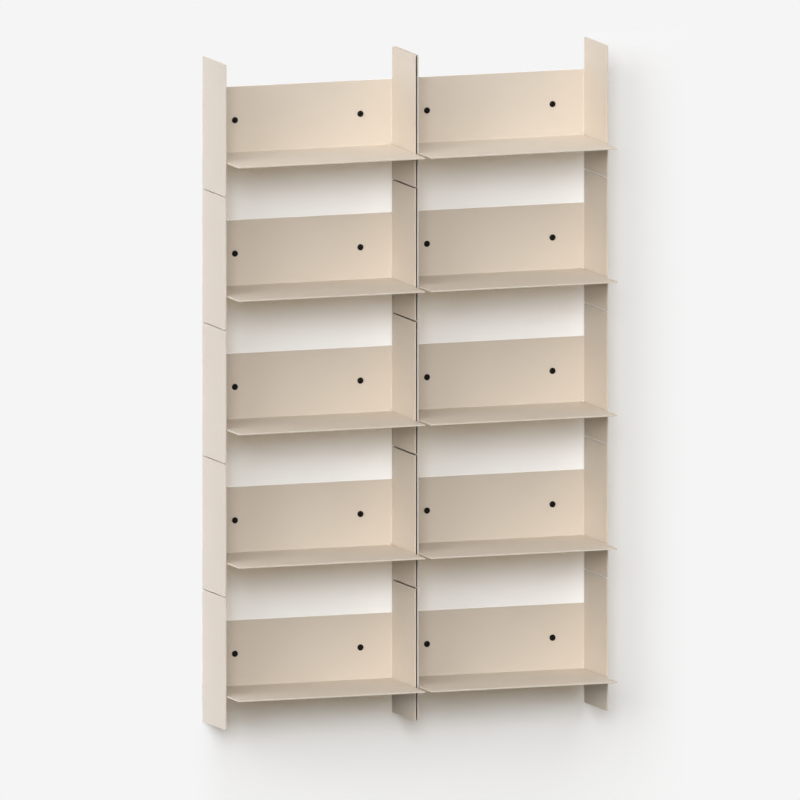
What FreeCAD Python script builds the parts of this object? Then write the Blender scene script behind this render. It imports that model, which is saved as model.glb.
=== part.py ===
import FreeCAD, Part
import math
import os
import Sketcher

doc = FreeCAD.newDocument("wall_bookcase")

# Driving dimensions in millimetres. The origin is the middle of the bookcase on the wall plane,
# +Z is up, the front faces -Y and the wall begins at y = 0.
sizes = {
    "sheet_thickness": 3.0,
    "bend_inner_radius": 2.0,
    "module_width": 450.0,
    "module_height": 296.0,
    "column_gap": 3.0,
    "row_gap": 3.0,
    "side_depth": 154.0,
    "back_height": 150.0,
    "shelf_depth": 230.0,
    "corner_radius": 2.0,
    "screw_spacing": 296.0,
    "hole_clearance": 1.0,
    "thread_diameter": 6.0,
    "neck_diameter": 5.0,
    "embedded_length": 52.0,
    "point_length": 7.0,
    "head_diameter": 14.0,
    "head_height": 4.4,
    "head_rim_height": 0.9,
    "head_flat_diameter": 7.4,
    "socket_width": 5.0,
    "socket_depth": 2.8,
}
sheet = doc.addObject("Spreadsheet::Sheet", "Sizes")
for row, (alias, number) in enumerate(sizes.items(), start=1):
    sheet.set(f"A{row}", alias)
    sheet.set(f"B{row}", str(number))
    sheet.setAlias(f"B{row}", alias)
doc.recompute()

# Modules hang in two columns, numbered from the top row down.
columns = ("left", "right")
row_count = 5

# A relief hole at the end of a fold is smaller than the fold's inner radius.
relief_share = 0.75
# An edge counts as upright, or as lying on the shelf's front, within this share of the sheet's thickness.
edge_match_share = 0.5

thickness = "Sizes.sheet_thickness"
inner_bend = "Sizes.bend_inner_radius"
outer_bend = f"({inner_bend} + {thickness})"
half_width = "(Sizes.module_width / 2)"
half_height = "(Sizes.module_height / 2)"
half_back = "(Sizes.back_height / 2)"
half_spacing = "(Sizes.screw_spacing / 2)"
# Where the flat of the back plate ends and the folds begin, sideways and downwards.
flat_edge = f"({half_width} - {outer_bend})"
fold_level = f"({half_back} - {outer_bend})"
relief_radius = f"({relief_share} * {inner_bend})"


def value_of(expression):
    return float(sheet.evalExpression(expression))


def add_sketch(body, name, role, offset=None):
    """A sketch on one of the body's origin planes, moved along that plane's normal by an expression."""
    sketch = body.newObject("Sketcher::SketchObject", name)
    plane = next(item for item in body.Origin.OriginFeatures if item.Role == role)
    sketch.AttachmentSupport = [(plane, "")]
    sketch.MapMode = "FlatFace"
    if offset:
        sketch.setExpression("AttachmentOffset.Base.z", offset)
    return sketch


def bind(sketch, kind, *arguments):
    """Adds a constraint whose last argument is an expression."""
    expression = arguments[-1]
    numbers = arguments[:-1] + (value_of(expression),)
    index = sketch.addConstraint(Sketcher.Constraint(kind, *numbers))
    sketch.setExpression(f"Constraints[{index}]", expression)


def point_on(x, y):
    return FreeCAD.Vector(value_of(x), value_of(y), 0)


def add_side(sketch, start, end, arc):
    """One side of an outline, straight or an arc, and the numbers of its first and last point."""
    first = point_on(*start)
    last = point_on(*end)
    if arc is None:
        return sketch.addGeometry(Part.LineSegment(first, last), False), 1, 2
    middle = point_on(*arc[0])
    to_first = first - middle
    to_last = last - middle
    forward = to_first.cross(to_last).z > 0
    opening, closing = (to_first, to_last) if forward else (to_last, to_first)
    start_angle = math.atan2(opening.y, opening.x)
    sweep = opening.getAngle(closing)
    circle = Part.Circle(middle, FreeCAD.Vector(0, 0, 1), to_first.Length)
    side = sketch.addGeometry(Part.ArcOfCircle(circle, start_angle, start_angle + sweep), False)
    bind(sketch, "Radius", side, arc[1])
    return (side, 1, 2) if forward else (side, 2, 1)


def draw_outline(sketch, corners):
    """A closed outline. Each corner is x, y and, where an arc leads on from it, the arc's centre and radius."""
    sides = []
    for index, corner in enumerate(corners):
        following = corners[(index + 1) % len(corners)]
        arc = corner[2] if len(corner) > 2 else None
        sides.append(add_side(sketch, corner[:2], following[:2], arc))
    for index, (side, first, _) in enumerate(sides):
        previous, _, previous_end = sides[index - 1]
        sketch.addConstraint(Sketcher.Constraint("Coincident", previous, previous_end, side, first))
    for index, corner in enumerate(corners):
        side, first, _ = sides[index]
        before = corners[index - 1]
        straight = index > 0 and len(before) == 2
        if straight and before[0] == corner[0]:
            sketch.addConstraint(Sketcher.Constraint("Vertical", sides[index - 1][0]))
        else:
            bind(sketch, "DistanceX", -1, 1, side, first, corner[0])
        if straight and before[1] == corner[1]:
            sketch.addConstraint(Sketcher.Constraint("Horizontal", sides[index - 1][0]))
        else:
            bind(sketch, "DistanceY", -1, 1, side, first, corner[1])


def draw_circle(sketch, x, y, radius):
    circle = Part.Circle(point_on(x, y), FreeCAD.Vector(0, 0, 1), value_of(radius))
    index = sketch.addGeometry(circle, False)
    bind(sketch, "Radius", index, radius)
    bind(sketch, "DistanceX", -1, 1, index, 3, x)
    bind(sketch, "DistanceY", -1, 1, index, 3, y)


def add_pad(body, name, sketch, length, both_ways=False):
    pad = body.newObject("PartDesign::Pad", name)
    pad.Profile = sketch
    pad.setExpression("Length", length)
    if both_ways:
        pad.SideType = "Symmetric"
    doc.recompute()
    return pad


def cut_through(body, name, sketch):
    """A cut through everything on both sides of its sketch, which has to take material away."""
    volume = body.Shape.Volume
    pocket = body.newObject("PartDesign::Pocket", name)
    pocket.Profile = sketch
    pocket.Type = "ThroughAll"
    pocket.SideType = "Symmetric"
    doc.recompute()
    if body.Shape.Volume >= volume:
        raise RuntimeError(f"{name} cuts nothing from {body.Label}")


def draw_back_plate(sketch):
    """The back plate in plan, with its quarter folds towards the two side panels."""
    left_centre = (f"-{flat_edge}", f"-{outer_bend}")
    right_centre = (flat_edge, f"-{outer_bend}")
    inner_face = f"({half_width} - {thickness})"
    draw_outline(sketch, [
        (f"-{half_width}", f"-{outer_bend}", (left_centre, outer_bend)),
        (f"-{flat_edge}", "0"),
        (flat_edge, "0", (right_centre, outer_bend)),
        (half_width, f"-{outer_bend}"),
        (inner_face, f"-{outer_bend}", (right_centre, inner_bend)),
        (flat_edge, f"-{thickness}"),
        (f"-{flat_edge}", f"-{thickness}", (left_centre, inner_bend)),
        (f"-{inner_face}", f"-{outer_bend}"),
    ])


def draw_side_panel(sketch):
    """The side panel seen from its side: free edges, rounded corners, back edge clear of the wall."""
    radius = "Sizes.corner_radius"
    front = "-Sizes.side_depth"
    back = f"-{outer_bend}"
    front_centre = f"({front} + {radius})"
    back_centre = f"({back} - {radius})"
    top_centre = f"({half_height} - {radius})"
    low_centre = f"-{top_centre}"
    draw_outline(sketch, [
        (front_centre, f"-{half_height}"),
        (back_centre, f"-{half_height}", ((back_centre, low_centre), radius)),
        (back, low_centre),
        (back, top_centre, ((back_centre, top_centre), radius)),
        (back_centre, half_height),
        (front_centre, half_height, ((front_centre, top_centre), radius)),
        (front, top_centre),
        (front, low_centre, ((front_centre, low_centre), radius)),
    ])


def draw_shelf(sketch):
    """The shelf in section, with its quarter fold out of the back plate's lower edge."""
    fold_centre = (f"-{outer_bend}", f"-{fold_level}")
    top_face = f"(-{half_back} + {thickness})"
    draw_outline(sketch, [
        ("0", f"-{fold_level}", (fold_centre, outer_bend)),
        (f"-{outer_bend}", f"-{half_back}"),
        ("-Sizes.shelf_depth", f"-{half_back}"),
        ("-Sizes.shelf_depth", top_face),
        (f"-{outer_bend}", top_face, (fold_centre, inner_bend)),
        (f"-{thickness}", f"-{fold_level}"),
    ])


def round_shelf_corners(body, base):
    """Rounds the two upright edges at the shelf's front corners."""
    front = -value_of("Sizes.shelf_depth")
    tolerance = value_of(thickness) * edge_match_share
    names = []
    for number, edge in enumerate(base.Shape.Edges, start=1):
        box = edge.BoundBox
        upright = box.ZLength > tolerance and box.XLength < tolerance
        if upright and abs(box.YMin - front) < tolerance and abs(box.YMax - front) < tolerance:
            names.append(f"Edge{number}")
    fillet = body.newObject("PartDesign::Fillet", "ShelfCorners")
    fillet.Base = (base, names)
    fillet.setExpression("Radius", "Sizes.corner_radius")
    doc.recompute()


def make_module(label, x, z):
    """One sheet folded three times: back plate, two side panels and a shelf that reaches past them."""
    body = doc.addObject("PartDesign::Body", label)
    body.Label = label

    back = add_sketch(body, "BackOutline", "XY_Plane", f"-{fold_level}")
    draw_back_plate(back)
    add_pad(body, "BackPlate", back, f"{half_back} + {fold_level}")

    side = add_sketch(body, "SideOutline", "YZ_Plane", f"{half_width} - {thickness}")
    draw_side_panel(side)
    panel = add_pad(body, "SidePanel", side, thickness)
    mirrored = body.newObject("PartDesign::Mirrored", "OtherSidePanel")
    mirrored.Originals = [panel]
    mirror_plane = next(item for item in body.Origin.OriginFeatures if item.Role == "YZ_Plane")
    mirrored.MirrorPlane = (mirror_plane, [""])
    body.Tip = mirrored
    doc.recompute()

    # The shelf is as wide as the flat of the back plate, so it clears the panels by the inner bend radius.
    shelf = add_sketch(body, "ShelfSection", "YZ_Plane")
    draw_shelf(shelf)
    round_shelf_corners(body, add_pad(body, "Shelf", shelf, f"2 * {flat_edge}", both_ways=True))

    holes = add_sketch(body, "HoleCentres", "XZ_Plane")
    hole_radius = "(Sizes.thread_diameter + Sizes.hole_clearance) / 2"
    for sign in ("-", ""):
        draw_circle(holes, f"{sign}{half_spacing}", "0", hole_radius)
    cut_through(body, "ScrewHoles", holes)

    # Round reliefs where the shelf's fold meets the side folds, and at both ends of each side fold.
    corners = add_sketch(body, "CornerReliefCentres", "XZ_Plane")
    for sign in ("-", ""):
        draw_circle(corners, f"{sign}{flat_edge}", f"-{fold_level}", relief_radius)
    cut_through(body, "CornerReliefs", corners)
    ends = add_sketch(body, "FoldEndCentres", "YZ_Plane")
    for level in (half_back, f"-{fold_level}"):
        draw_circle(ends, f"-{outer_bend}", level, relief_radius)
    cut_through(body, "FoldEndReliefs", ends)

    body.setExpression("Placement.Base.x", x)
    body.setExpression("Placement.Base.z", z)
    return body


def draw_screw(sketch):
    """Half the screw in plan, turned about its axis: domed head, plain neck in the sheet, thread, point."""
    head_face = f"-({thickness} + Sizes.head_height)"
    rim_level = f"-({thickness} + Sizes.head_rim_height)"
    head_radius = "(Sizes.head_diameter / 2)"
    flat_radius = "(Sizes.head_flat_diameter / 2)"
    neck_radius = "(Sizes.neck_diameter / 2)"
    thread_radius = "(Sizes.thread_diameter / 2)"
    # The dome is part of a sphere centred on the screw's axis.
    rise = "(Sizes.head_height - Sizes.head_rim_height)"
    below_rim = f"(({head_radius}^2 - {flat_radius}^2 - {rise}^2) / (2 * {rise}))"
    dome_centre = ("0", f"({rim_level} + {below_rim})")
    dome_radius = f"sqrt({head_radius}^2 + {below_rim}^2)"
    draw_outline(sketch, [
        ("0", head_face),
        (flat_radius, head_face, (dome_centre, dome_radius)),
        (head_radius, rim_level),
        (head_radius, f"-{thickness}"),
        (neck_radius, f"-{thickness}"),
        (neck_radius, "0"),
        (thread_radius, "0"),
        (thread_radius, "(Sizes.embedded_length - Sizes.point_length)"),
        ("0", "Sizes.embedded_length"),
    ])


def draw_socket(sketch):
    """The hexagon of the screw's socket, with two corners level."""
    half_flats = "(Sizes.socket_width / 2)"
    corner = "(Sizes.socket_width / sqrt(3))"
    half_corner = f"({corner} / 2)"
    draw_outline(sketch, [
        (corner, "0"),
        (half_corner, half_flats),
        (f"-{half_corner}", half_flats),
        (f"-{corner}", "0"),
        (f"-{half_corner}", f"-{half_flats}"),
        (half_corner, f"-{half_flats}"),
    ])


def make_screw(label, x, z):
    """A button-head screw with a hexagon socket, its head against the front of the back plate."""
    body = doc.addObject("PartDesign::Body", label)
    body.Label = label
    profile = add_sketch(body, "ScrewProfile", "XY_Plane")
    draw_screw(profile)
    turned = body.newObject("PartDesign::Revolution", "Turned")
    turned.Profile = profile
    turned.ReferenceAxis = (profile, ["V_Axis"])
    turned.Angle = 360
    doc.recompute()

    solid_volume = body.Shape.Volume
    hexagon = add_sketch(body, "SocketOutline", "XZ_Plane", f"{thickness} + Sizes.head_height")
    draw_socket(hexagon)
    socket = body.newObject("PartDesign::Pocket", "Socket")
    socket.Profile = hexagon
    socket.setExpression("Length", "Sizes.socket_depth")
    doc.recompute()
    if body.Shape.Volume >= solid_volume:
        raise RuntimeError(f"the socket cuts nothing from {label}")

    body.setExpression("Placement.Base.x", x)
    body.setExpression("Placement.Base.z", z)
    return body


pieces = []
for column, column_name in enumerate(columns):
    for row in range(row_count):
        columns_across = column - (len(columns) - 1) / 2
        rows_up = (row_count - 1) / 2 - row
        x = f"{columns_across} * (Sizes.module_width + Sizes.column_gap)"
        z = f"{rows_up} * (Sizes.module_height + Sizes.row_gap)"
        name = f"{column_name}_{row + 1}"
        pieces.append(make_module(f"shelf_module_{name}", x, z))
        pieces.append(make_screw(f"wall_screw_{name}_a", f"{x} - {half_spacing}", z))
        pieces.append(make_screw(f"wall_screw_{name}_b", f"{x} + {half_spacing}", z))
doc.recompute()

failed = [item.Label for item in doc.Objects if "Invalid" in item.State or "Error" in item.State]
if failed:
    raise RuntimeError(f"objects that failed to compute: {failed}")
for piece in pieces:
    if piece.Shape.isNull() or not piece.Shape.isValid() or len(piece.Shape.Solids) != 1:
        raise RuntimeError(f"{piece.Label} is not one valid solid")

os.makedirs("parts", exist_ok=True)
for piece in pieces:
    piece.Shape.exportStep(os.path.join("parts", f"{piece.Label}.step"))
print(f"{len(pieces)} pieces written")
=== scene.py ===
import math

import bmesh
import bpy
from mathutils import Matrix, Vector


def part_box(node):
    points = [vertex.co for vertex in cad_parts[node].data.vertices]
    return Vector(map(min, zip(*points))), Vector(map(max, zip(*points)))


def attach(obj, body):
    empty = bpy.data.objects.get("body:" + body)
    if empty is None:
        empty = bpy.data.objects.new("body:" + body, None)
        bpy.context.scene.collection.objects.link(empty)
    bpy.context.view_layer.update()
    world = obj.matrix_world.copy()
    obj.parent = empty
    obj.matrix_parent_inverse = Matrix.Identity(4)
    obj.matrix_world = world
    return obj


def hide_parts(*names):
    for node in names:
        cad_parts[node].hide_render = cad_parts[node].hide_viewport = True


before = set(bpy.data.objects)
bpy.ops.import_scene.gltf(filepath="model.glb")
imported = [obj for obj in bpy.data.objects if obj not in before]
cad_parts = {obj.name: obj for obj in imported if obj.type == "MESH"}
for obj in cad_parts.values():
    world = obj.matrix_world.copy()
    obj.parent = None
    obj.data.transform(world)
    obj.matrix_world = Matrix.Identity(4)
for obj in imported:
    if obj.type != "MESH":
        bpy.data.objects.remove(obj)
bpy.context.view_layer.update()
mm = 0.001
print("frame loaded,", len(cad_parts), "pieces")


def addNode(tree, kind, inputs=None, **settings):
    made = tree.nodes.new(kind)
    for name, value in settings.items():
        setattr(made, name, value)
    for name, value in (inputs or {}).items():
        if isinstance(value, bpy.types.NodeSocket):
            tree.links.new(value, made.inputs[name])
        else:
            made.inputs[name].default_value = value
    return made


def doMath(tree, operation, first, second=0.0, third=0.0, clamp=False):
    inputs = {0: first, 1: second, 2: third}
    return addNode(tree, "ShaderNodeMath", inputs, operation=operation, use_clamp=clamp).outputs[0]


def mapRange(tree, value, start, end, low=0.0, high=1.0):
    inputs = {"Value": value, "From Min": start, "From Max": end, "To Min": low, "To Max": high}
    return addNode(tree, "ShaderNodeMapRange", inputs).outputs["Result"]


def mixColour(tree, share, first, second):
    inputs = {0: share, 6: first, 7: second}  # the colour sockets of a Mix node
    return addNode(tree, "ShaderNodeMix", inputs, data_type="RGBA").outputs[2]


def addSocket(tree, name, kind, direction="INPUT"):
    tree.interface.new_socket(name, in_out=direction, socket_type=f"NodeSocket{kind}")


def seenShare(tree, path):
    # 1 for rays that look at a surface, 0 for light on its way between surfaces
    direct = doMath(tree, "ADD", path.outputs["Is Camera Ray"], path.outputs["Is Glossy Ray"])
    return doMath(tree, "ADD", direct, path.outputs["Is Transmission Ray"], clamp=True)


def startMaterial(name):
    material = bpy.data.materials.new(name)
    material.use_nodes = True
    material.node_tree.nodes.clear()
    return material, material.node_tree


def linkObject(name, mesh):
    made = bpy.data.objects.new(name, mesh)
    bpy.context.scene.collection.objects.link(made)
    return made


# A parallel view from the upper left, so one scale holds over the whole picture
photoView = {
    "azimuth": -19.8,
    "elevation": 8.1,
    "frameWidth": 1.7752,
    "imageSize": 800,
    "middlePixel": (393.2, 378.7),  # where the middle of the bookcase falls on the wall plane
    "distance": 5.0,
}


def aimFrom(azimuth, elevation):
    turn, lift = math.radians(azimuth), math.radians(elevation)
    level = math.cos(lift)
    return Vector((math.sin(turn) * level, -math.cos(turn) * level, math.sin(lift)))


def makeCamera(view):
    back = aimFrom(view["azimuth"], view["elevation"])
    right = Vector((0, 0, 1)).cross(back).normalized()
    up = back.cross(right)
    metresPerPixel = view["frameWidth"] / view["imageSize"]
    centre = view["imageSize"] / 2
    across = (centre - view["middlePixel"][0]) * metresPerPixel
    upward = (view["middlePixel"][1] - centre) * metresPerPixel
    lens = bpy.data.cameras.new("photoCamera")
    lens.type = "ORTHO"
    lens.ortho_scale = view["frameWidth"]
    camera = linkObject("photoCamera", lens)
    camera.location = right * across + up * upward + back * view["distance"]
    camera.rotation_mode = "QUATERNION"
    camera.rotation_quaternion = (-back).to_track_quat("-Z", "Y")
    bpy.context.scene.camera = camera


makeCamera(photoView)
bpy.context.scene.view_settings.view_transform = "Standard"
print("camera set")


# Soft studio light at a plain level: a key beside the camera, wide lights from the left, the right and above,
# a cool lamp low behind the left edge for the outer side panels, and one behind for the other side
studio = {
    "fill": 0.02,
    "backdrop": (0.913, 0.913, 0.913, 1),
    "suns": {
        "keySun": {"azimuth": -20, "elevation": 18, "softness": 20, "strength": 1.22, "colour": (1, 1, 1)},
        "leftSun": {"azimuth": -57, "elevation": 18, "softness": 38, "strength": 1.07, "colour": (1, 1, 1)},
        "rightSun": {"azimuth": 80, "elevation": 3, "softness": 43, "strength": 1.18, "colour": (1, 1, 1)},
        "topSun": {"azimuth": -33, "elevation": 52, "softness": 93, "strength": 1.71, "colour": (1, 1, 1)},
        "sideSun": {
            "azimuth": -100, "elevation": 10, "softness": 14, "strength": 0.52, "colour": (0.57, 0.68, 1),
        },
        "rearSun": {"azimuth": 150, "elevation": 35, "softness": 60, "strength": 3.2, "colour": (1, 1, 1)},
    },
}


def makeLights(settings):
    for name, sun in settings["suns"].items():
        lamp = bpy.data.lights.new(name, "SUN")
        lamp.energy = sun["strength"]
        lamp.color = sun["colour"]
        lamp.angle = math.radians(sun["softness"])
        holder = linkObject(name, lamp)
        holder.rotation_mode = "QUATERNION"
        holder.rotation_quaternion = aimFrom(sun["azimuth"], sun["elevation"]).to_track_quat("Z", "Y")
    world = bpy.data.worlds.new("studio")
    bpy.context.scene.world = world
    world.use_nodes = True
    tree = world.node_tree
    tree.nodes.clear()
    seen = seenShare(tree, addNode(tree, "ShaderNodeLightPath"))
    light = addNode(tree, "ShaderNodeBackground", {"Color": (1, 1, 1, 1), "Strength": settings["fill"]})
    view = addNode(tree, "ShaderNodeBackground", {"Color": settings["backdrop"], "Strength": 1.0})
    mixed = addNode(tree, "ShaderNodeMixShader", {0: seen, 1: light.outputs[0], 2: view.outputs[0]})
    addNode(tree, "ShaderNodeOutputWorld", {"Surface": mixed.outputs[0]})


makeLights(studio)


# The wall just behind the back plates, clear from behind so that other views see the object. Its wing on
# the left lets the side lamp through, its faint warm glow paints a warm tint into the shadows on the wall,
# and flags shade the narrow gaps.
# Away from the bookcase and its shadow the wall shows the plain tone of the backdrop.
stage = {
    "wallGap": 0.5 * mm,
    "reach": 4.0,
    "wingEdge": -456 * mm,
    "floorLevel": -1.15,
    "floorReach": 14.0,
    "flagHalfWidth": 1.4 * mm,
    "columnFlag": {"halfHeight": 746 * mm, "level": -153.6 * mm},
    "rowFlags": {
        "sides": (-4.6 * mm, 448.4 * mm),
        "heights": (448.5 * mm, 149.5 * mm, -149.5 * mm, -448.5 * mm),
        "reach": (-153.6 * mm, -5 * mm),
    },
    "flagColour": (0.003, 0.003, 0.003, 1),
    "colour": (0.857, 0.899, 0.952, 1),
    # a warm glow seen by the camera only: painted warm light in the wall's shadows, while the cool colour
    # above keeps the lit wall neutral
    "glow": (0.146, 0.108, 0.060, 1),
    "bounce": (0.75, 0.74, 0.72, 1),
    "roughness": 0.9,
    "specular": 0.0,
    "shortRay": 2 * mm,
    "plainWall": {  # where the plain tone begins and where it is full
        "left": (-450.5 * mm, -451.5 * mm),
        "leftSpread": (50 * mm, -20 * mm),  # how much softer it begins below the lowest panel
        "spreadLevels": (-700 * mm, -780 * mm),
        "right": (555 * mm, 700 * mm),
        "top": (660 * mm, 676 * mm),
        "rightSide": 450 * mm,
        "rightRise": 84 * mm,  # the last panel's shadow reaches this much higher
    },
}


def plainShare(tree, settings):
    place = addNode(tree, "ShaderNodeTexCoord").outputs["Object"]
    parts = addNode(tree, "ShaderNodeSeparateXYZ", {0: place})
    across, upward = parts.outputs[0], parts.outputs[2]
    low, high = settings["top"]
    beside = doMath(tree, "GREATER_THAN", across, settings["rightSide"])
    top = mapRange(tree, upward, low, doMath(tree, "MULTIPLY_ADD", beside, settings["rightRise"], high))
    spread = mapRange(tree, upward, *settings["spreadLevels"])
    ends = [
        doMath(tree, "MULTIPLY_ADD", spread, wider, end)
        for wider, end in zip(settings["leftSpread"], settings["left"])
    ]
    left = mapRange(tree, across, *ends)
    right = mapRange(tree, across, *settings["right"])
    return doMath(tree, "MAXIMUM", doMath(tree, "MAXIMUM", left, right), top)


def makeStageMaterial(name, settings, plainTone=None):
    material, tree = startMaterial(name)
    path = addNode(tree, "ShaderNodeLightPath")
    camera, seen = path.outputs["Is Camera Ray"], seenShare(tree, path)
    surface = addNode(tree, "ShaderNodeBsdfPrincipled", {
        "Base Color": mixColour(tree, seen, settings["bounce"], settings["colour"]),
        "Roughness": settings["roughness"],
        "Specular IOR Level": settings["specular"],
        # the glow paints warm light into the wall's shadows, for the camera only
        "Emission Color": settings["glow"],
        "Emission Strength": seen,
    })
    if plainTone:
        plain = addNode(tree, "ShaderNodeEmission", {"Color": plainTone})
        share = doMath(tree, "MULTIPLY", plainShare(tree, settings["plainWall"]), camera)
        surface = addNode(tree, "ShaderNodeMixShader", {0: share, 1: surface.outputs[0], 2: plain.outputs[0]})
    clear = addNode(tree, "ShaderNodeBsdfTransparent")
    side = addNode(tree, "ShaderNodeNewGeometry")
    near = doMath(tree, "LESS_THAN", path.outputs["Ray Length"], settings["shortRay"])
    unseen = doMath(tree, "SUBTRACT", 1.0, camera)
    passes = doMath(tree, "MAXIMUM", side.outputs["Backfacing"], doMath(tree, "MULTIPLY", near, unseen))
    mixed = addNode(tree, "ShaderNodeMixShader", {0: passes, 1: surface.outputs[0], 2: clear.outputs[0]})
    addNode(tree, "ShaderNodeOutputMaterial", {"Surface": mixed.outputs[0]})
    return material


def makeSheet(name, quads):
    mesh = bpy.data.meshes.new(name)
    corners, faces = [], []
    for quad in quads:
        faces.append(range(len(corners), len(corners) + len(quad)))
        corners += quad
    mesh.from_pydata(corners, [], faces)
    sheet = linkObject(name, mesh)
    return sheet


def facingQuad(left, right, halfHeight, level):
    low, high = -halfHeight, halfHeight
    return [(left, level, low), (right, level, low), (right, level, high), (left, level, high)]


def makeFlags(settings):
    half = settings["flagHalfWidth"]
    column, rows = settings["columnFlag"], settings["rowFlags"]
    quads = [facingQuad(-half, half, column["halfHeight"], column["level"])]
    front, back = rows["reach"]
    for side in rows["sides"]:
        for height in rows["heights"]:
            low, high = height - half, height + half
            quads.append([(side, front, low), (side, back, low), (side, back, high), (side, front, high)])
    material, tree = startMaterial("stageBlack")
    cloth = addNode(tree, "ShaderNodeBsdfDiffuse", {"Color": settings["flagColour"]})
    addNode(tree, "ShaderNodeOutputMaterial", {"Surface": cloth.outputs[0]})
    flags = makeSheet("stageFlags", quads)
    flags.data.materials.append(material)
    flags.visible_camera = False
    flags.visible_glossy = False


def makeStage(settings, backdrop):
    wallPaint = makeStageMaterial("wallPaint", settings, backdrop)
    floorPaint = makeStageMaterial("floorPaint", settings)
    reach, edge, level = settings["reach"], settings["wingEdge"], settings["wallGap"]
    wall = makeSheet("stageWall", [facingQuad(edge, reach, reach, level)])
    wing = makeSheet("stageWing", [facingQuad(-reach, edge, reach, level)])
    wing.visible_shadow = False
    far, low = settings["floorReach"], settings["floorLevel"]
    corners = [(-far, level, low), (-far, -far, low), (far, -far, low), (far, level, low)]
    floor = makeSheet("stageFloor", [corners])
    floor.visible_diffuse = False
    floor.visible_shadow = False
    for sheet, paint in ((wall, wallPaint), (wing, wallPaint), (floor, floorPaint)):
        sheet.data.materials.append(paint)
    makeFlags(settings)


makeStage(stage, studio["backdrop"])
print("stage and lights set")


# Beige powder coat: a fine orange peel, a faint drift of tone, and on the edges a thinner, lighter film with
# a painted highlight
powderCoat = {
    "colour": (0.674, 0.599, 0.510, 1),
    "driftColour": (0.659, 0.581, 0.491, 1),
    # lighter on the edges: a thinner film and a painted edge highlight
    "rimColour": (0.725, 0.655, 0.573, 1),
    "rimShare": 0.7,
    "peelScale": 420.0,
    "grainScale": 1900.0,
    "driftScale": 6.0,
    "roughness": (0.46, 0.58),
    "specular": 0.5,
    "bumpDepth": 0.2 * mm,
    "bumpStrength": 0.8,
}
# Blackened steel, rubbed a little lighter on the rim and round the socket
blackSteel = {
    "colour": (0.0030, 0.0024, 0.0019, 1),
    "driftColour": (0.0052, 0.0045, 0.0038, 1),
    "rimColour": (0.016, 0.0142, 0.0126, 1),
    "rimShare": 0.55,
    "peelScale": 900.0,
    "grainScale": 4200.0,
    "driftScale": 240.0,
    "roughness": (0.34, 0.48),
    "specular": 0.1,
    "bumpDepth": 0.02 * mm,
    "bumpStrength": 0.3,
}


# How the noises of a finish are put together, alike for both
coatNoise = {
    "peelDetail": 1.0,
    "grainDetail": 2.0,
    "driftDetail": 3.0,
    "patchDetail": 3.0,
    "grainHeightShare": 0.35,
    "shineShares": (0.6, 0.4),  # of the grain and of the drift
    "noiseRange": (0.3, 0.7),
    "patchRange": (0.25, 0.6),
    "patchPeels": 4,  # how many peels wide a patch of thin film is
}


def addNoise(tree, scale, detail):
    place = addNode(tree, "ShaderNodeTexCoord").outputs["Object"]
    inputs = {"Vector": place, "Scale": scale, "Detail": detail}
    return addNode(tree, "ShaderNodeTexNoise", inputs).outputs["Fac"]


def makeCoatGrain(settings):
    tree = bpy.data.node_groups.new("coatGrain", "ShaderNodeTree")
    for name in ("Peel Scale", "Grain Scale", "Drift Scale"):
        addSocket(tree, name, "Float")
    for name in ("Height", "Drift", "Shine"):
        addSocket(tree, name, "Float", "OUTPUT")
    given = addNode(tree, "NodeGroupInput").outputs
    peel = addNoise(tree, given["Peel Scale"], settings["peelDetail"])
    grain = addNoise(tree, given["Grain Scale"], settings["grainDetail"])
    drift = addNoise(tree, given["Drift Scale"], settings["driftDetail"])
    height = doMath(tree, "MULTIPLY_ADD", grain, settings["grainHeightShare"], peel)
    spread = mapRange(tree, drift, *settings["noiseRange"])
    grainShare, driftShare = settings["shineShares"]
    shine = doMath(tree, "MULTIPLY_ADD", grain, grainShare, doMath(tree, "MULTIPLY", drift, driftShare))
    addNode(tree, "NodeGroupOutput", {"Height": height, "Drift": spread, "Shine": shine})
    return tree


# Mask for the rim colour: on the coat a thinner film with a painted edge highlight, on the screws the rubbed
# rim
def makeRimFilmAndHighlight(settings):
    tree = bpy.data.node_groups.new("rimFilm", "ShaderNodeTree")
    for name in ("Rim", "Share", "Patch Scale"):
        addSocket(tree, name, "Float")
    addSocket(tree, "Mask", "Float", "OUTPUT")
    given = addNode(tree, "NodeGroupInput").outputs
    patch = addNoise(tree, given["Patch Scale"], settings["patchDetail"])
    uneven = mapRange(tree, patch, *settings["patchRange"])
    most = doMath(tree, "MULTIPLY", given["Rim"], given["Share"])
    addNode(tree, "NodeGroupOutput", {"Mask": doMath(tree, "MULTIPLY", most, uneven)})
    return tree


coatGrain = makeCoatGrain(coatNoise)
rimFilm = makeRimFilmAndHighlight(coatNoise)


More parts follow.
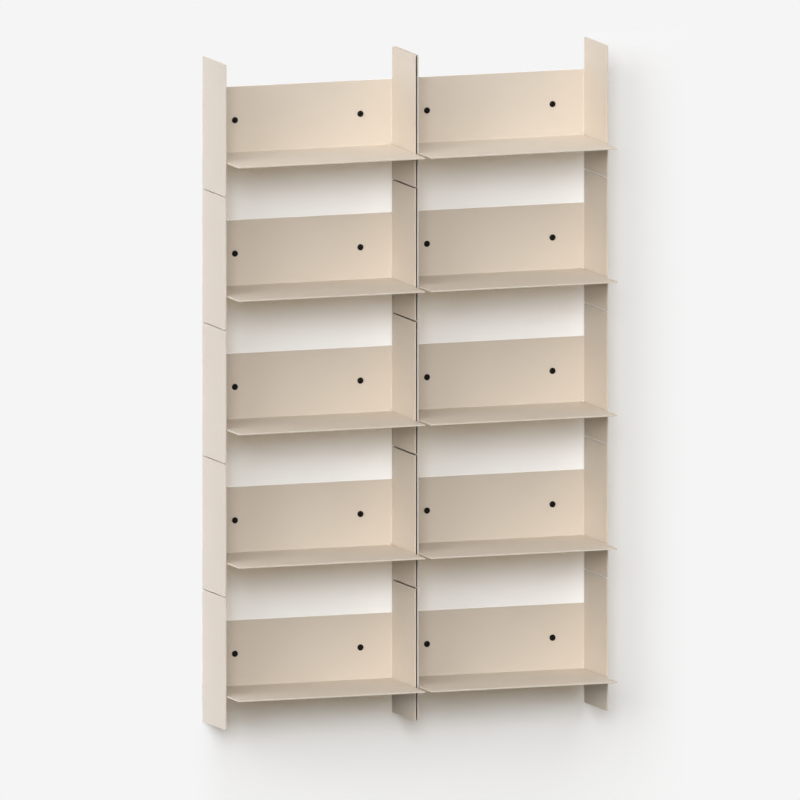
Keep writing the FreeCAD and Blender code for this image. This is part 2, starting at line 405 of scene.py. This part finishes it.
def makeFinish(name, settings):
    material, tree = startMaterial(name)
    grain = addNode(tree, "ShaderNodeGroup", {
        "Peel Scale": settings["peelScale"],
        "Grain Scale": settings["grainScale"],
        "Drift Scale": settings["driftScale"],
    }, node_tree=coatGrain)
    rim = addNode(tree, "ShaderNodeAttribute", attribute_name="rim")
    filmAndHighlight = addNode(tree, "ShaderNodeGroup", {
        "Rim": rim.outputs["Fac"],
        "Share": settings["rimShare"],
        "Patch Scale": settings["peelScale"] / coatNoise["patchPeels"],
    }, node_tree=rimFilm)
    tone = mixColour(tree, grain.outputs["Drift"], settings["colour"], settings["driftColour"])
    gloss = mapRange(tree, grain.outputs["Shine"], *coatNoise["noiseRange"], *settings["roughness"])
    bump = addNode(tree, "ShaderNodeBump", {
        "Height": grain.outputs["Height"],
        "Distance": settings["bumpDepth"],
        "Strength": settings["bumpStrength"],
    })
    shader = addNode(tree, "ShaderNodeBsdfPrincipled", {
        # the rim colour on the edges: a thinner film, on the coat also a painted highlight
        "Base Color": mixColour(tree, filmAndHighlight.outputs["Mask"], tone, settings["rimColour"]),
        "Roughness": gloss,
        "Specular IOR Level": settings["specular"],
        "Normal": bump.outputs["Normal"],
    })
    addNode(tree, "ShaderNodeOutputMaterial", {"Surface": shader.outputs[0]})
    return material


coatMaterial = makeFinish("powderCoat", powderCoat)
steelMaterial = makeFinish("blackSteel", blackSteel)
print("finishes made")


# Each folded module keeps its own shape and gets the eased edges of coated sheet
foldedModule = {
    "nodeStart": "shelf_module_",
    "pieceStart": "folded_module_",
    "mergeDistance": 0.001 * mm,
    "flatAngle": 0.3,
    "edgeAngle": 40,
    "edgeRound": 0.4 * mm,
    "edgeSteps": 2,
    "rimSlot": 1,  # marks the eased edges until they carry the rim value
    "flatWeight": 100,
    "foldAcross": 220 * mm,
    "foldDepth": -5 * mm,
    "foldLevels": (-70 * mm, 75 * mm),
    "foldTrim": 2.5 * mm,
    "reliefRadius": 1.5 * mm,
    "holeAcross": 148 * mm,
    "holeRadius": 3.5 * mm,
    "cutMargin": 0.12 * mm,
    "shortEdge": 3 * mm,
}


def bakeModifiers(piece):
    depsgraph = bpy.context.evaluated_depsgraph_get()
    mesh = bpy.data.meshes.new_from_object(piece.evaluated_get(depsgraph), depsgraph=depsgraph)
    piece.modifiers.clear()
    piece.data = mesh
    mesh.name = piece.name


def markRims(mesh, rimIndex):
    rims = [1.0 if face.material_index == rimIndex else 0.0 for face in mesh.polygons]
    mesh.attributes.new("rim", "FLOAT", "FACE").data.foreach_set("value", rims)
    for face in mesh.polygons:
        face.material_index = 0


def trimFolds(shape, middle, settings):
    # Short end pieces keep the long strips of the folds evenly shaded
    inset = settings["foldTrim"]
    across = settings["foldAcross"] - inset
    bottom, top = settings["foldLevels"]
    cuts = [((side * across, 0, 0), (1, 0, 0)) for side in (-1, 1)]
    cuts += [((0, 0, level), (0, 0, 1)) for level in (bottom + inset, top - inset)]
    cuts.append(((0, settings["foldDepth"] - inset, 0), (0, 1, 0)))
    for spot, direction in cuts:
        parts = [*shape.verts, *shape.edges, *shape.faces]
        bmesh.ops.bisect_plane(shape, geom=parts, plane_co=middle + Vector(spot), plane_no=direction)


def onRoundCut(point, settings):
    across = abs(point.x)
    cuts = [
        (across - settings["foldAcross"], point.z - settings["foldLevels"][0], settings["reliefRadius"]),
        (across - settings["holeAcross"], point.z, settings["holeRadius"]),
    ]
    for level in settings["foldLevels"]:
        cuts.append((point.y - settings["foldDepth"], point.z - level, settings["reliefRadius"]))
    return any(math.hypot(a, b) < radius + settings["cutMargin"] for a, b, radius in cuts)


def pickEdges(shape, middle, settings):
    # Outlines are eased, while the bend reliefs and the hidden screw holes stay as cut
    weights = shape.edges.layers.float.new("bevel_weight_edge")
    for edge in shape.edges:
        if edge.calc_face_angle(0.0) < math.radians(settings["edgeAngle"]):
            continue
        cut = [onRoundCut(vert.co - middle, settings) for vert in edge.verts]
        if all(cut) or any(cut) and edge.calc_length() < settings["shortEdge"]:
            edge.smooth = False
        else:
            edge[weights] = 1.0


def foldedShape(nodeName, settings):
    shape = bmesh.new()
    shape.from_mesh(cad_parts[nodeName].data)
    bmesh.ops.remove_doubles(shape, verts=shape.verts, dist=settings["mergeDistance"])
    bmesh.ops.dissolve_limit(
        shape, angle_limit=math.radians(settings["flatAngle"]), verts=shape.verts, edges=shape.edges,
    )
    low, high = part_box(nodeName)
    middle = Vector(((low.x + high.x) / 2, 0, (low.z + high.z) / 2))
    trimFolds(shape, middle, settings)
    pickEdges(shape, middle, settings)
    for face in shape.faces:
        face.smooth = True
    return shape


def easeEdges(piece, settings):
    edges = piece.modifiers.new("easedEdges", "BEVEL")
    edges.width = settings["edgeRound"]
    edges.segments = settings["edgeSteps"]
    edges.limit_method = "WEIGHT"
    edges.use_clamp_overlap = False
    edges.miter_outer = "MITER_ARC"
    edges.material = settings["rimSlot"]
    shading = piece.modifiers.new("flatShading", "WEIGHTED_NORMAL")
    shading.weight = settings["flatWeight"]
    shading.keep_sharp = True
    bakeModifiers(piece)
    markRims(piece.data, settings["rimSlot"])


def makeModule(nodeName, settings):
    name = nodeName.replace(settings["nodeStart"], settings["pieceStart"])
    mesh = bpy.data.meshes.new(name)
    shape = foldedShape(nodeName, settings)
    shape.to_mesh(mesh)
    shape.free()
    for _ in range(settings["rimSlot"] + 1):
        mesh.materials.append(coatMaterial)
    piece = linkObject(name, mesh)
    easeEdges(piece, settings)
    piece.data.materials.pop()
    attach(piece, "root")
    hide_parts(nodeName)


moduleNodes = sorted(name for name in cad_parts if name.startswith(foldedModule["nodeStart"]))
for nodeName in moduleNodes:
    makeModule(nodeName, foldedModule)
print("modules dressed,", len(moduleNodes))


# Button-head wall screws: a turned head with a hexagon socket, a plain neck and a sharp thread to a point
wallScrew = {
    "nodeStart": "wall_screw_",
    "segments": 60,
    "threadSteps": 24,
    "domeSteps": 8,
    "plateThickness": 3.0 * mm,
    "rimHeight": 0.9 * mm,
    "rimEase": 0.14 * mm,
    "flatRadius": 3.7 * mm,
    "socketApothem": 2.5 * mm,
    "socketDepth": 2.8 * mm,
    "socketCone": 0.9 * mm,
    "socketSides": 6,
    "mouthEase": 0.22 * mm,
    "neckRadius": 2.5 * mm,
    "coreRadius": 2.1 * mm,
    "threadRadius": 3.0 * mm,
    "pitch": 2.8 * mm,
    "ridgeShare": 0.25,  # of the pitch, on each side of the crest
    "threadColumns": 5,
    "pointLength": 7.0 * mm,
    "weldDistance": 0.001 * mm,
    "sharpAngle": 35,
    "turnSeed": 7,
    "rub": {"mouthWall": 0.5, "mouth": 1.0, "face": 0.3, "rim": 1.0, "side": 0.6, "seat": 0.2},
}


def screwProfile(settings, headRadius, face):
    # Rings from the socket's floor over the head and down to the thread: radius, depth, hexagon share, rub
    plate = -settings["plateThickness"]
    rimLevel = plate - settings["rimHeight"]
    rise = rimLevel - face
    flat, ease, mouth = settings["flatRadius"], settings["rimEase"], settings["mouthEase"]
    below = (headRadius ** 2 - flat ** 2 - rise ** 2) / (2 * rise)
    domeRadius = math.hypot(headRadius, below)
    apothem, floorLevel = settings["socketApothem"], face + settings["socketDepth"]
    rub, hexagon, circle, unworn = settings["rub"], 1, 0, 0
    rings = [
        (0, floorLevel + settings["socketCone"], hexagon, unworn),
        (apothem, floorLevel, hexagon, unworn),
        (apothem, face + mouth, hexagon, rub["mouthWall"]),
        (apothem + mouth, face, hexagon, rub["mouth"]),
        (flat - ease, face, circle, rub["face"]),
    ]
    first, last = math.asin(flat / domeRadius), math.asin(headRadius / domeRadius)
    for step in range(settings["domeSteps"]):
        angle = first + (last - first) * (step + 0.5) / settings["domeSteps"]
        depth = rimLevel + below - domeRadius * math.cos(angle)
        rings.append((domeRadius * math.sin(angle), depth, circle, unworn))
    rings += [
        (headRadius, rimLevel + ease, circle, rub["rim"]),
        (headRadius, plate - ease, circle, rub["side"]),
        (headRadius - ease, plate, circle, rub["seat"]),
        (settings["neckRadius"], plate, circle, unworn),
        (settings["neckRadius"], 0, circle, unworn),
        (settings["coreRadius"], 0, circle, unworn),
    ]
    mesh = bpy.data.meshes.new("screwProfile")
    mesh.from_pydata([ring[:3] for ring in rings], [(i, i + 1) for i in range(len(rings) - 1)], [])
    mesh.attributes.new("rim", "FLOAT", "POINT").data.foreach_set("value", [ring[3] for ring in rings])
    return linkObject("screwProfile", mesh)


def gridPosition(tree):
    # How far along and across a grid of size 1 a point lies, from 0 to 1
    place = addNode(tree, "GeometryNodeInputPosition")
    parts = addNode(tree, "ShaderNodeSeparateXYZ", {0: place.outputs[0]})
    return [doMath(tree, "ADD", parts.outputs[axis], 0.5) for axis in (0, 1)]


def turnedPoint(tree, radius, depth, angle):
    x = doMath(tree, "MULTIPLY", radius, doMath(tree, "COSINE", angle))
    z = doMath(tree, "MULTIPLY", radius, doMath(tree, "SINE", angle))
    return addNode(tree, "ShaderNodeCombineXYZ", {"X": x, "Y": depth, "Z": z}).outputs[0]


def placedGrid(tree, rows, columns, position, rim):
    grid = addNode(tree, "GeometryNodeMeshGrid", {
        "Size X": 1.0, "Size Y": 1.0, "Vertices X": rows, "Vertices Y": columns,
    })
    stored = addNode(tree, "GeometryNodeStoreNamedAttribute", {
        "Geometry": grid.outputs["Mesh"], "Name": "rim", "Value": rim,
    }, data_type="FLOAT", domain="POINT")
    moved = addNode(tree, "GeometryNodeSetPosition", {
        "Geometry": stored.outputs["Geometry"], "Position": position,
    })
    return moved.outputs["Geometry"]


def turnedHead(tree, given, settings):
    # Every ring of the profile goes once round, and the socket's rings are pushed out to a hexagon
    profile = addNode(tree, "GeometryNodeObjectInfo", {"Object": given["Profile"]}).outputs["Geometry"]
    alongRings, aroundShare = gridPosition(tree)
    lastRing = doMath(tree, "SUBTRACT", given["Rings"], 1.0)
    ring = doMath(tree, "ROUND", doMath(tree, "MULTIPLY", alongRings, lastRing))

    def sampleRing(value, kind):
        inputs = {"Geometry": profile, "Value": value, "Index": ring}
        made = addNode(tree, "GeometryNodeSampleIndex", inputs, data_type=kind, domain="POINT")
        return made.outputs["Value"]

    place = addNode(tree, "GeometryNodeInputPosition")
    mark = addNode(tree, "GeometryNodeInputNamedAttribute", {"Name": "rim"}, data_type="FLOAT")
    point = sampleRing(place.outputs[0], "FLOAT_VECTOR")
    rub = sampleRing(mark.outputs["Attribute"], "FLOAT")
    parts = addNode(tree, "ShaderNodeSeparateXYZ", {0: point})
    sideAngle = math.tau / settings["socketSides"]
    angle = doMath(tree, "MULTIPLY", aroundShare, math.tau)
    withinSide = doMath(tree, "FLOORED_MODULO", doMath(tree, "ADD", angle, sideAngle / 2), sideAngle)
    toSide = doMath(tree, "COSINE", doMath(tree, "SUBTRACT", withinSide, sideAngle / 2))
    outward = doMath(tree, "SUBTRACT", doMath(tree, "DIVIDE", 1.0, toSide), 1.0)
    factor = doMath(tree, "MULTIPLY_ADD", outward, parts.outputs[2], 1.0)
    radius = doMath(tree, "MULTIPLY", parts.outputs[0], factor)
    around = doMath(tree, "ADD", given["Segments"], 1.0)
    position = turnedPoint(tree, radius, parts.outputs[1], angle)
    return placedGrid(tree, given["Rings"], around, position, rub)


def woundThread(tree, given, settings):
    # One strip a pitch wide wound round the core, its middle raised to the crest, closing down to the point
    length, pitch = given["Thread Length"], given["Pitch"]
    turns = doMath(tree, "ADD", doMath(tree, "CEIL", doMath(tree, "DIVIDE", length, pitch)), 1.0)
    along, across = gridPosition(tree)
    turn = doMath(tree, "MULTIPLY", along, turns)
    pitches = doMath(tree, "SUBTRACT", doMath(tree, "ADD", turn, across), 1.0)
    level = doMath(tree, "MULTIPLY", pitches, pitch)
    depth = doMath(tree, "MINIMUM", doMath(tree, "MAXIMUM", level, 0.0), length)
    fromCrest = doMath(tree, "ABSOLUTE", doMath(tree, "SUBTRACT", across, 0.5))
    slope = -1 / settings["ridgeShare"]
    ridge = doMath(tree, "MAXIMUM", doMath(tree, "MULTIPLY_ADD", fromCrest, slope, 1.0), 0.0)
    runIn = addNode(tree, "ShaderNodeMapRange", {
        "Value": depth, "From Max": pitch,
    }, interpolation_type="SMOOTHSTEP").outputs["Result"]
    crest = doMath(tree, "MULTIPLY", ridge, runIn)
    height = doMath(tree, "SUBTRACT", given["Thread Radius"], given["Core Radius"])
    full = doMath(tree, "MULTIPLY_ADD", crest, height, given["Core Radius"])
    ahead = doMath(tree, "SUBTRACT", length, depth)
    toTip = doMath(tree, "DIVIDE", ahead, given["Point Length"], clamp=True)
    radius = doMath(tree, "MULTIPLY", full, toTip)
    steps = doMath(tree, "MULTIPLY_ADD", turns, given["Thread Steps"], 1.0)
    angle = doMath(tree, "MULTIPLY", turn, math.tau)
    return placedGrid(tree, steps, settings["threadColumns"], turnedPoint(tree, radius, depth, angle), crest)


def makeScrewTree(settings):
    tree = bpy.data.node_groups.new("wallScrews", "GeometryNodeTree")
    addSocket(tree, "Geometry", "Geometry")
    addSocket(tree, "Profile", "Object")
    for name in ("Rings", "Segments", "Thread Steps", "Turn Seed"):
        addSocket(tree, name, "Int")
    for name in ("Core Radius", "Thread Radius", "Pitch", "Thread Length", "Point Length", "Weld Distance"):
        addSocket(tree, name, "Float")
    addSocket(tree, "Finish", "Material")
    addSocket(tree, "Geometry", "Geometry", "OUTPUT")
    given = addNode(tree, "NodeGroupInput").outputs
    joined = addNode(tree, "GeometryNodeJoinGeometry")
    for part in (turnedHead(tree, given, settings), woundThread(tree, given, settings)):
        tree.links.new(part, joined.inputs[0])
    welded = addNode(tree, "GeometryNodeMergeByDistance", {
        "Geometry": joined.outputs[0], "Distance": given["Weld Distance"],
    })
    smooth = addNode(tree, "GeometryNodeSetShadeSmooth", {"Geometry": welded.outputs[0]})
    turn = addNode(tree, "FunctionNodeRandomValue", {
        3: math.tau, "Seed": given["Turn Seed"],  # socket 3 holds the largest value
    }, data_type="FLOAT")
    about = addNode(tree, "FunctionNodeAxisAngleToRotation", {"Axis": (0, 1, 0), "Angle": turn.outputs[1]})
    placed = addNode(tree, "GeometryNodeInstanceOnPoints", {
        "Points": given["Geometry"], "Instance": smooth.outputs[0], "Rotation": about.outputs[0],
    })
    real = addNode(tree, "GeometryNodeRealizeInstances", {"Geometry": placed.outputs[0]})
    coated = addNode(tree, "GeometryNodeSetMaterial", {
        "Geometry": real.outputs[0], "Material": given["Finish"],
    })
    addNode(tree, "NodeGroupOutput", {0: coated.outputs[0]})
    return tree


def makeScrews(settings):
    nodes = sorted(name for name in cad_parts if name.startswith(settings["nodeStart"]))
    low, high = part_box(nodes[0])
    profile = screwProfile(settings, (high.x - low.x) / 2, low.y)
    seats = bpy.data.meshes.new("wall_screws")
    middles = [(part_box(name)[0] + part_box(name)[1]) / 2 for name in nodes]
    seats.from_pydata([(middle.x, 0, middle.z) for middle in middles], [], [])
    piece = linkObject("wall_screws", seats)
    turned = piece.modifiers.new("wallScrews", "NODES")
    turned.node_group = makeScrewTree(settings)
    values = {
        "Profile": profile,
        "Rings": len(profile.data.vertices),
        "Segments": settings["segments"],
        "Thread Steps": settings["threadSteps"],
        "Turn Seed": settings["turnSeed"],
        "Core Radius": settings["coreRadius"],
        "Thread Radius": settings["threadRadius"],
        "Pitch": settings["pitch"],
        "Thread Length": high.y,
        "Point Length": settings["pointLength"],
        "Weld Distance": settings["weldDistance"],
        "Finish": steelMaterial,
    }
    for socket in turned.node_group.interface.items_tree:
        if socket.name in values:
            turned[socket.identifier] = values[socket.name]
    bakeModifiers(piece)
    bpy.data.objects.remove(profile)
    shape = bmesh.new()
    shape.from_mesh(piece.data)
    bmesh.ops.recalc_face_normals(shape, faces=shape.faces)
    shape.to_mesh(piece.data)
    shape.free()
    piece.data.set_sharp_from_angle(angle=math.radians(settings["sharpAngle"]))
    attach(piece, "root")
    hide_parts(*nodes)
    return len(nodes)


print("screws turned,", makeScrews(wallScrew))
